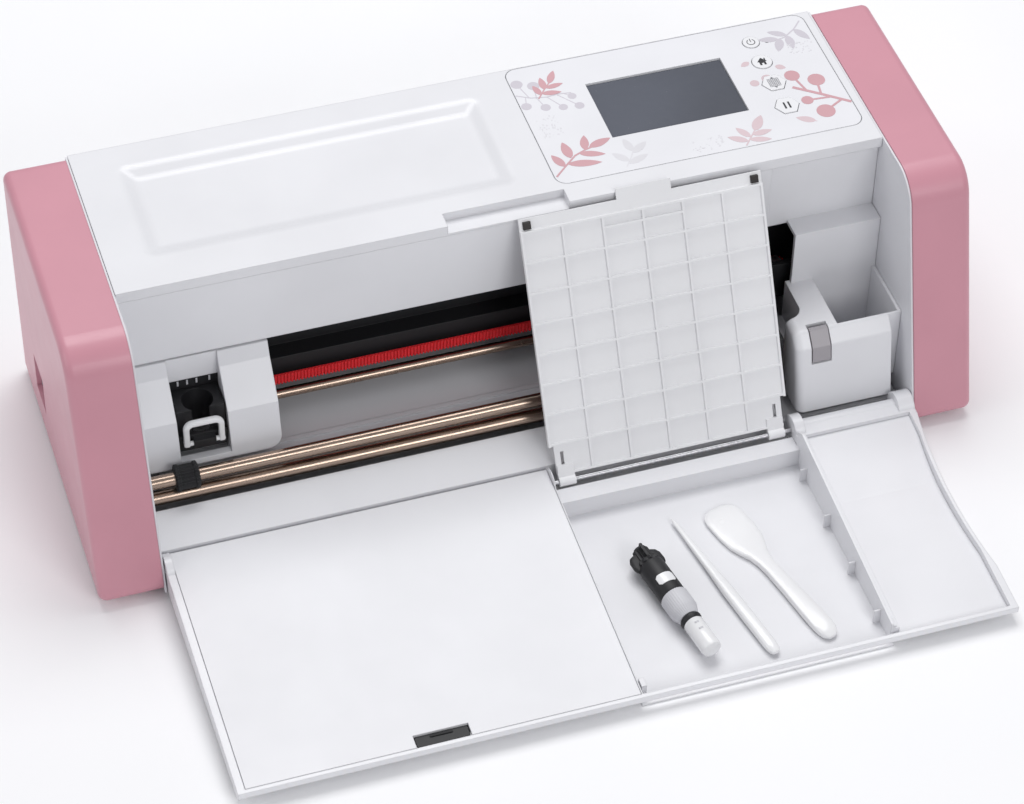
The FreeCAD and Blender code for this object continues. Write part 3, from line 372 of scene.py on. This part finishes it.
def prints():
    """Generic sprigs, berries and specks printed on the control panel."""
    low, top = INK, (INK[0] + 0.05, INK[1] + 0.05)
    rose = sprig([(35.6, 82), (43.3, 89.2), (51.4, 96.4), (59, 99.7), (66.2, 101.7)],
                 [(43, 89, 112, 12.5, 5.2), (48.5, 95, 93, 14.5, 6), (58.5, 99.6, 75, 12.5, 5.2),
                  (61.5, 101, 17, 15, 5.6), (54, 97.6, -18, 15.5, 4.8), (45, 90.6, -11, 20, 5.6)],
                 top, 1.2)
    rose += berries([(221.5, 95), (207, 106.5), (193, 117)],
                    [(207, 106.5, 209, 119.5, 5.2), (200, 111.5, 196.5, 127, 4.6),
                     (212, 102.5, 197.2, 103.6, 3.6), (217, 98.7, 204.2, 91.6, 5.6)], top, 2.0)
    rose += sprig([(47, 150), (53, 157.5), (60, 165)],
                  [(49.5, 153, 105, 9.5, 4), (53, 157, 88, 11, 4.4), (57, 161.5, 60, 12, 4.4),
                   (54, 158, 8, 11, 3.8), (50, 154, -8, 12, 4)], top, 0.9)
    lilac = berries([(34.8, 156.5), (43, 152), (52, 150.3), (60, 151), (67, 150)],
                    [(40, 153.5, 38, 145.5, 3.1), (46, 151.2, 48.5, 141.6, 3),
                     (52, 150.4, 58.5, 139, 2.7), (58, 151, 68, 137.6, 2.9),
                     (62, 151, 66.5, 147, 2.6), (42, 152.4, 38.5, 166, 3.6),
                     (46, 151.2, 47.5, 162, 3.6)], low, 0.8)
    lilac += sprig([(219, 173.5), (213, 167), (205, 161.5), (197.5, 160)],
                   [(213, 167, -62, 13, 5.2), (207, 162.6, -92, 12.5, 5.4),
                    (202, 161, -115, 12, 5.6), (207, 163, 150, 12, 4.6),
                    (201, 160.8, 168, 12.5, 4.8)], low, 0.9)
    pale = sprig([(149, 76.2), (155, 83.5), (160, 89.5)],
                 [(154, 82.5, 120, 11.5, 4.6), (151.5, 79.5, 148, 12.5, 4.8),
                  (158, 87, 55, 14.5, 6.2), (155.5, 84, 5, 12.5, 4.6), (152.5, 80.6, -14, 13, 4.4)],
                 top, 0.9)
    pale += sprig([(196, 84.5), (187, 90)], [(195.5, 85, 150, 12, 5)], low, 0.6)
    pale += [disc(181.5, 128.8, 3.4, *low), disc(173, 126.8, 2.8, *low),
             leaf((176.5, 146), 205, 6.5, 4, low), leaf((190, 138), 330, 6.5, 4.4, low)]
    mist = sprig([(77, 79), (82, 86), (86, 93)],
                 [(80, 83, 130, 12, 5), (79, 81, 20, 14, 5), (84, 89, 35, 13, 5),
                  (84.5, 90.5, 100, 12, 5)], low, 0.6)
    for solids, name, ink in ((rose, "rose", "rose_ink"), (lilac, "lilac", "lilac_ink"),
                              (pale, "pale_rose", "pale_rose_ink"), (mist, "mist", "mist_ink")):
        piece("panel_print_" + name, *joined(*stepped(solids, 0.0015)), "panel_print", "chassis",
              material=INKS[ink])
    specks = []
    for centre, spread_x, spread_y, count in (((46, 125), 7, 9, 46), ((128, 84), 10, 5, 40),
                                              ((211, 150), 8, 5, 40)):
        for _ in range(count):
            specks.append(disc(centre[0] + random.uniform(-1, 1) * spread_x,
                               centre[1] + random.uniform(-1, 1) * spread_y,
                               random.uniform(0.25, 0.6), *low, sides=8))
    piece("panel_print_specks", *joined(*stepped(specks, 0.0004)), "panel_print", "chassis",
          material=INKS["mist_ink"])


def arc(x, y, radius, width, first, last, low, high, steps=20):
    """A curved stroke from one heading to another, in degrees."""
    rows = ([], [])
    for i in range(steps + 1):
        angle = math.radians(first + (last - first) * i / steps)
        for row, r in zip(rows, (radius - width / 2, radius + width / 2)):
            row.append((x + r * math.cos(angle), y + r * math.sin(angle)))
    return plate(rows[0] + rows[1][::-1], low, high)


def key_marks():
    """Power, home, mat and pause symbols, each on its own key."""
    high = KEY_TOP + 0.01
    level = (high, high + 0.06)
    ink = INKS["dark_ink"]
    piece("power_mark", *joined(*stepped([arc(184, 162.5, 2.4, 0.45, 120, 420, *level),
                                          bar((184, 162.6), (184, 165.6), 0.45, *level)],
                                         0.004)),
          "key_plastic", "power_key", material=ink)
    roof = plate([(181, 143.6), (187, 143.6), (184, 147.2)], *level)
    piece("home_mark", *joined(*stepped([roof, plate([(182, 140.6), (183.3, 140.6), (183.3, 142.4),
                                            (184.7, 142.4), (184.7, 140.6), (186, 140.6),
                                            (186, 143.5), (182, 143.5)], *level),
                                        bar((186.1, 144.6), (186.1, 146.6), 0.7, *level)],
                                       0.004)),
          "key_plastic", "home_key", material=ink)
    grid = [bar((180.7 + 1.1 * i, 120.3), (180.7 + 1.1 * i, 127.3), 0.28, *level)
            for i in range(7)]
    grid += [bar((180.6, 120.4 + 1.13 * i), (187.4, 120.4 + 1.13 * i), 0.28, *level)
             for i in range(7)]
    grid += [plate([(183, 127.5), (185, 127.5), (184, 129)], *level),
             plate([(183, 120.1), (184, 118.6), (185, 120.1)], *level)]
    piece("mat_mark", *joined(*stepped(grid, 0.002)), "key_plastic", "mat_key", material=INKS["grey_ink"])
    piece("pause_mark", *joined(bar((182.6, 99.6), (182.6, 105.2), 1.1, *level),
                                bar((185.4, 99.6), (185.4, 105.2), 1.1, *level)),
          "key_plastic", "pause_key", material=ink)


# ---------------------------------------------------------------- carriage details

def belt():
    """The toothed belt as one ribbed loop."""
    lo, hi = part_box("drive_belt")
    x0, x1 = lo[0] / MM, hi[0] / MM
    y0, y1 = lo[1] / MM, hi[1] / MM
    z0, z1 = lo[2] / MM, hi[2] / MM
    radius = (y1 - y0) / 2
    middle = (y0 + y1) / 2
    straight = (x1 - x0) - 2 * radius
    length = 2 * straight + 2 * math.pi * radius
    pitch = 2.0

    def at(run, depth):
        r = radius - depth
        if run < straight:
            return x0 + radius + run, middle - r
        run -= straight
        if run < math.pi * radius:
            angle = run / radius
            return x1 - radius + r * math.sin(angle), middle - r * math.cos(angle)
        run -= math.pi * radius
        if run < straight:
            return x1 - radius - run, middle + r
        angle = (run - straight) / radius
        return x0 + radius - r * math.sin(angle), middle + r * math.cos(angle)

    count = int(length / pitch)
    step = length / count
    rings = []
    for i in range(count):
        for share, outer in ((0.0, 0.0), (0.5, 0.0), (0.58, 1.0), (0.92, 1.0)):
            run = (i + share) * step
            a, b = at(run, outer), at(run, 1.4)
            rings.append([(*a, z0), (*a, z1), (*b, z1), (*b, z0)])
    verts = [point for ring in rings for point in ring]
    total = len(rings)
    faces = []
    for line in range(total):
        a, b = 4 * line, 4 * ((line + 1) % total)
        faces += [(a + i, a + (i + 1) % 4, b + (i + 1) % 4, b + i) for i in range(4)]
    piece("toothed_belt", verts, faces, "belt_red", "chassis", ["drive_belt"])


def ticks():
    """Short setting marks on the black block above the tool holder."""
    solids = []
    upright = Matrix.Rotation(math.radians(90), 4, "X")
    for x in (-196, -190.5, -185, -177.5):
        mark = plate([(-0.55, -1.9), (0.55, -1.9), (0.55, 1.9), (-0.55, 1.9)], 0, 0.15)
        solids.append(placed(mark, Matrix.Translation((x, 61.2, 80.5)) @ upright))
    piece("setting_marks", *joined(*solids), "holder_grey", "carriage")


def swept(path, half_wide, half_thick, sides=12):
    """A rounded strap along a path of points, wide along the first axis across it."""
    rings = []
    for i, point in enumerate(path):
        here = Vector(point)
        before, after = Vector(path[max(0, i - 1)]), Vector(path[min(len(path) - 1, i + 1)])
        along = (after - before).normalized()
        out = Vector((0, 1, 0))
        side = along.cross(out).normalized()
        ring = []
        for k in range(sides):
            angle = 2 * math.pi * (k + 0.5) / sides
            c, q = math.cos(angle), math.sin(angle)
            ring.append(tuple(here + side * half_wide * abs(c) ** 0.6 * (1 if c > 0 else -1)
                              + out * half_thick * abs(q) ** 0.6 * (1 if q > 0 else -1)))
        rings.append(ring)
    return lofted(rings)


def clamp():
    """The U-shaped clamp lever with rounded shoulders and small pivots."""
    left, right, foot, crest, bend = -197.7, -177.3, 54.4, 71.2, 4.0
    path = [(left, 37.2, foot), (left, 37.2, crest - bend)]
    for i in range(1, 8):
        angle = math.radians(180 - 90 * i / 8)
        path.append((left + bend + bend * math.cos(angle), 37, crest - bend + bend * math.sin(angle)))
    path += [(left + bend + 1, 37, crest), (right - bend - 1, 37, crest)]
    for i in range(1, 8):
        angle = math.radians(90 - 90 * i / 8)
        path.append((right - bend + bend * math.cos(angle), 37, crest - bend + bend * math.sin(angle)))
    path += [(right, 37.2, crest - bend), (right, 37.2, foot)]
    pins = [placed(turned([(0, 1.5), (24, 1.5)], 20), Matrix.Translation((-199.5, 37.2, 55.5)))]
    piece("clamp_lever_moulding", *joined(swept(path, 1.8, 1.8), *pins), "tool_white",
          "clamp_lever", ["clamp_lever"])


def knurled_rollers():
    """Pinch rollers whose edges carry a row of small teeth."""
    lo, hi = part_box("pinch_rollers")
    cy, cz = (lo[1] + hi[1]) / 2 / MM, (lo[2] + hi[2]) / 2 / MM
    radius = (hi[2] - lo[2]) / 2 / MM
    solids = []
    for x0, x1 in ((lo[0] / MM, lo[0] / MM + 14), (hi[0] / MM - 14, hi[0] / MM)):
        body = turned([(x0, 3.9), (x0, radius - 1.4), (x0 + 0.6, radius), (x0 + 2.6, radius),
                       (x0 + 2.8, radius - 0.8), (x1 - 2.8, radius - 0.8), (x1 - 2.6, radius),
                       (x1 - 0.6, radius), (x1, radius - 1.4), (x1, 3.9)], 72, 24, 0.9)
        solids.append(placed(body, Matrix.Translation((0, cy, cz))))
    piece("toothed_pinch_rollers", *joined(*solids), "black_rubber", "pinch_roller",
          ["pinch_rollers"])


# ---------------------------------------------------------------- tools lying in the tray

def lay(x, y, z, heading):
    """The matrix that lays a tool from its end at a point, along a heading in degrees."""
    return Matrix.Translation((x, y, z)) @ Matrix.Rotation(math.radians(heading), 4, "Z")


def blade_set():
    """The blade holder with its finned knob, blank label, grey ring and white cap."""
    at = lay(*BLADE_SPOT)
    barrel = turned([(0, 6.4), (0.4, 7.7), (2, 7.9), (24.5, 7.9), (26, 7.4), (26, 0.1)])
    collar = turned([(44, 0.1), (44, 5.4), (45.2, 6.4), (46.4, 6.4), (48, 5.8), (48, 0.1)])
    piece("blade_barrel", *placed(joined(barrel, collar), at), "black_plastic", "front_cover",
          ["blade_holder"])
    ring = turned([(26, 0.1), (26, 7.6), (26.6, 8.4), (37.6, 8.4), (39, 7.9), (44, 5.9), (44, 0.1)],
                  72, 36, 0.25)
    piece("blade_ring", *placed(ring, at), "holder_grey", "front_cover")
    knob = turned([(-14, 0.1), (-14, 3.4), (-13.2, 4.6), (-12, 5.0), (-3.4, 5.2), (-3.2, 7.2),
                   (-2.6, 7.4), (-0.6, 7.4), (0, 6.6), (0, 0.1)], 72, 12, 1.1)
    wings = [flat_ring(x, half, -1.9, 1.9, 20, 0.6)
             for x, half in ((-10.5, 6.5), (-9.5, 8.6), (-7, 9.8), (-2, 10.0), (0.5, 9.4), (1.5, 8.2))]
    fin = round_box((-13.6, -1), (-0.9, 0.9), (4.4, 6.3), 0.6)
    piece("blade_knob", *placed(joined(knob, lofted(wings), fin), at), "black_plastic",
          "front_cover", ["blade_holder_knob"])
    cap = turned([(48, 0.1), (48, 5.6), (48.6, 6), (67.4, 6), (69.4, 5.5), (70.6, 4), (71, 2),
                  (71, 0.1)])
    piece("blade_cap", *placed(cap, at), "tool_white", "front_cover", ["blade_tip_cap"])
    marks = []
    for x in (51.6, 56.4):
        marks.append(placed(plate([(x, -1.6), (x + 1.1, -1.6), (x + 1.1, 0.9), (x, 0.9)], 0, 0.2),
                            Matrix.Translation((0, 0, 5.85))))
    piece("cap_marks", *placed(joined(*marks), at), "holder_grey", "front_cover")
    label = []
    for i in range(9):
        angle = math.radians(48 + 84 * i / 8)
        inset = 1.4 if i in (0, 8) else 0.0
        label.append([(x, r * math.cos(angle), r * math.sin(angle))
                      for x, r in ((13 + inset, 8.02), (20 - inset, 8.02), (20 - inset, 7.6),
                                   (13 + inset, 7.6))])
    piece("blank_label", *placed(lofted(label), at), "tool_white", "front_cover")


def flat_ring(x, half_wide, low, high, sides=16, power=0.5):
    """A rounded cross-section in the plane across X."""
    middle, half = (low + high) / 2, (high - low) / 2
    ring = []
    for i in range(sides):
        angle = 2 * math.pi * (i + 0.5) / sides
        c, q = math.cos(angle), math.sin(angle)
        ring.append((x, half_wide * abs(c) ** power * (1 if c > 0 else -1),
                     middle + half * abs(q) ** power * (1 if q > 0 else -1)))
    return ring


def spatula():
    """Wide rounded blade, narrow neck and swelling handle."""
    rows = [(0, 3.5, 0.6, 1.4), (0.8, 6.5, 0.3, 2.0), (2.4, 9.2, 0.1, 2.5), (5, 11, 0, 2.9),
            (9, 12, 0, 3.2), (22, 12.1, 0, 3.4), (31, 11.2, 0, 3.6), (38, 8.8, 0, 3.9),
            (44, 6.2, 0, 4.3), (50, 4.9, 0, 4.6), (58, 4.5, 0, 4.9), (75, 5.0, 0, 5.2),
            (95, 6.0, 0, 5.4), (106, 6.2, 0, 5.3), (111, 5.6, 0.1, 4.9), (114.2, 4.2, 0.4, 4.2),
            (116, 2, 1.2, 3.2)]
    piece("spatula_moulding", *placed(lofted([flat_ring(*row) for row in rows]),
                                      lay(*SPATULA_SPOT)),
          "tool_white", "front_cover", ["spatula"])


def hook():
    """Long tapered pick."""
    rows = [(0, 0.35), (3, 0.8), (20, 1.3), (45, 1.9), (55, 2.3), (62, 2.6), (85, 2.75),
            (108, 2.7), (112, 2.4), (114.4, 1.4), (115, 0.4)]
    rings = [flat_ring(x, r * 1.45, 2.8 - r, 2.8 + r, 20, 0.8) for x, r in rows]
    piece("hook_moulding", *placed(lofted(rings), lay(*HOOK_SPOT)), "tool_white",
          "front_cover", ["hook_tool"])


def latch_catch_and_painted_shade():
    """Painted shade: a black plate stands for the shaded pocket behind the notch at the mat panel's far
    edge, with the catch across it.
    """
    # painted shade: this thin black plate stands in for the shadow inside the pocket
    pocket_shade = round_box((-125.6, -95.4), (-177.2, -169.9), (9.62, 10.3), 1.2)
    piece("latch_pocket_painted_shade", *pocket_shade, "black_plastic", "front_cover")
    catch = round_box((-117, -104), (-172.2, -170.6), (10.3, 10.9), 0.5)
    piece("latch_bar", *catch, "black_rubber", "front_cover")


TRAY_TOP = 1.5
BLADE_SPOT = (38.9, -89.8, TRAY_TOP + 8.5, -80)
SPATULA_SPOT = (92, -52, TRAY_TOP, -75.5)
HOOK_SPOT = (64.5, -54, TRAY_TOP, -79)

prints()
key_marks()
belt()
ticks()
clamp()
knurled_rollers()
blade_set()
spatula()
hook()
latch_catch_and_painted_shade()


# ---------------------------------------------------------------- stage, light and camera

def floor():
    """Plain pale floor."""
    material, tree, shader = new_material("floor_paper")
    tree.links.new(ramp(tree, object_noise(tree, 3, 3), (0.93, 0.93, 0.94), (0.96, 0.96, 0.97)),
                   shader.inputs["Base Color"])
    shader.inputs["Roughness"].default_value = 0.9
    mesh = bpy.data.meshes.new("floor")
    half = 6
    mesh.from_pydata([(-half, -half, 0), (half, -half, 0), (half, half, 0), (-half, half, 0)],
                     [], [(0, 1, 2, 3)])
    mesh.materials.append(material)
    plane = bpy.data.objects.new("floor", mesh)
    bpy.context.scene.collection.objects.link(plane)


def area_light(name, place, aim, size, power, tint=(1, 1, 1)):
    lamp = bpy.data.lights.new(name, "AREA")
    lamp.shape = "RECTANGLE"
    lamp.size, lamp.size_y = size
    lamp.energy = power
    lamp.color = tint
    item = bpy.data.objects.new(name, lamp)
    item.location = place
    item.rotation_euler = (Vector(aim) - Vector(place)).to_track_quat("-Z", "Y").to_euler()
    bpy.context.scene.collection.objects.link(item)


def lights():
    world = bpy.data.worlds.new("studio")
    world.use_nodes = True
    backdrop = world.node_tree.nodes["Background"]
    backdrop.inputs["Color"].default_value = (0.95, 0.96, 1.0, 1)
    backdrop.inputs["Strength"].default_value = 0.45
    bpy.context.scene.world = world
    bpy.context.scene.view_settings.view_transform = "Standard"
    area_light("overhead", (0.15, 0.75, 1.8), (0, 0.0, 0.1), (1.4, 1.0), 21)
    area_light("front_fill", (0.5, -1.9, 1.3), (0, 0, 0.1), (1.0, 0.8), 13)
    area_light("left_window", (-1.8, -0.2, 0.9), (0, -0.05, 0.05), (1.0, 1.0), 4)


def camera():
    """Long-lens camera at the photograph's viewing angle."""
    data = bpy.data.cameras.new("camera")
    data.sensor_width = 36.0
    focal_pixels, picture_width = 3411, 1024
    data.lens = data.sensor_width * focal_pixels / picture_width
    data.clip_end = 20
    item = bpy.data.objects.new("camera", data)
    right = Vector((0.95203, -0.30564, 0.01511))
    up = Vector((0.20772, 0.68169, 0.70154))
    back = right.cross(up)
    item.matrix_world = Matrix((right, up, back)).transposed().to_4x4()
    item.matrix_world.translation = Vector((-0.4524, -1.2904, 1.4552))
    bpy.context.scene.collection.objects.link(item)
    bpy.context.scene.camera = item


floor()
lights()
camera()
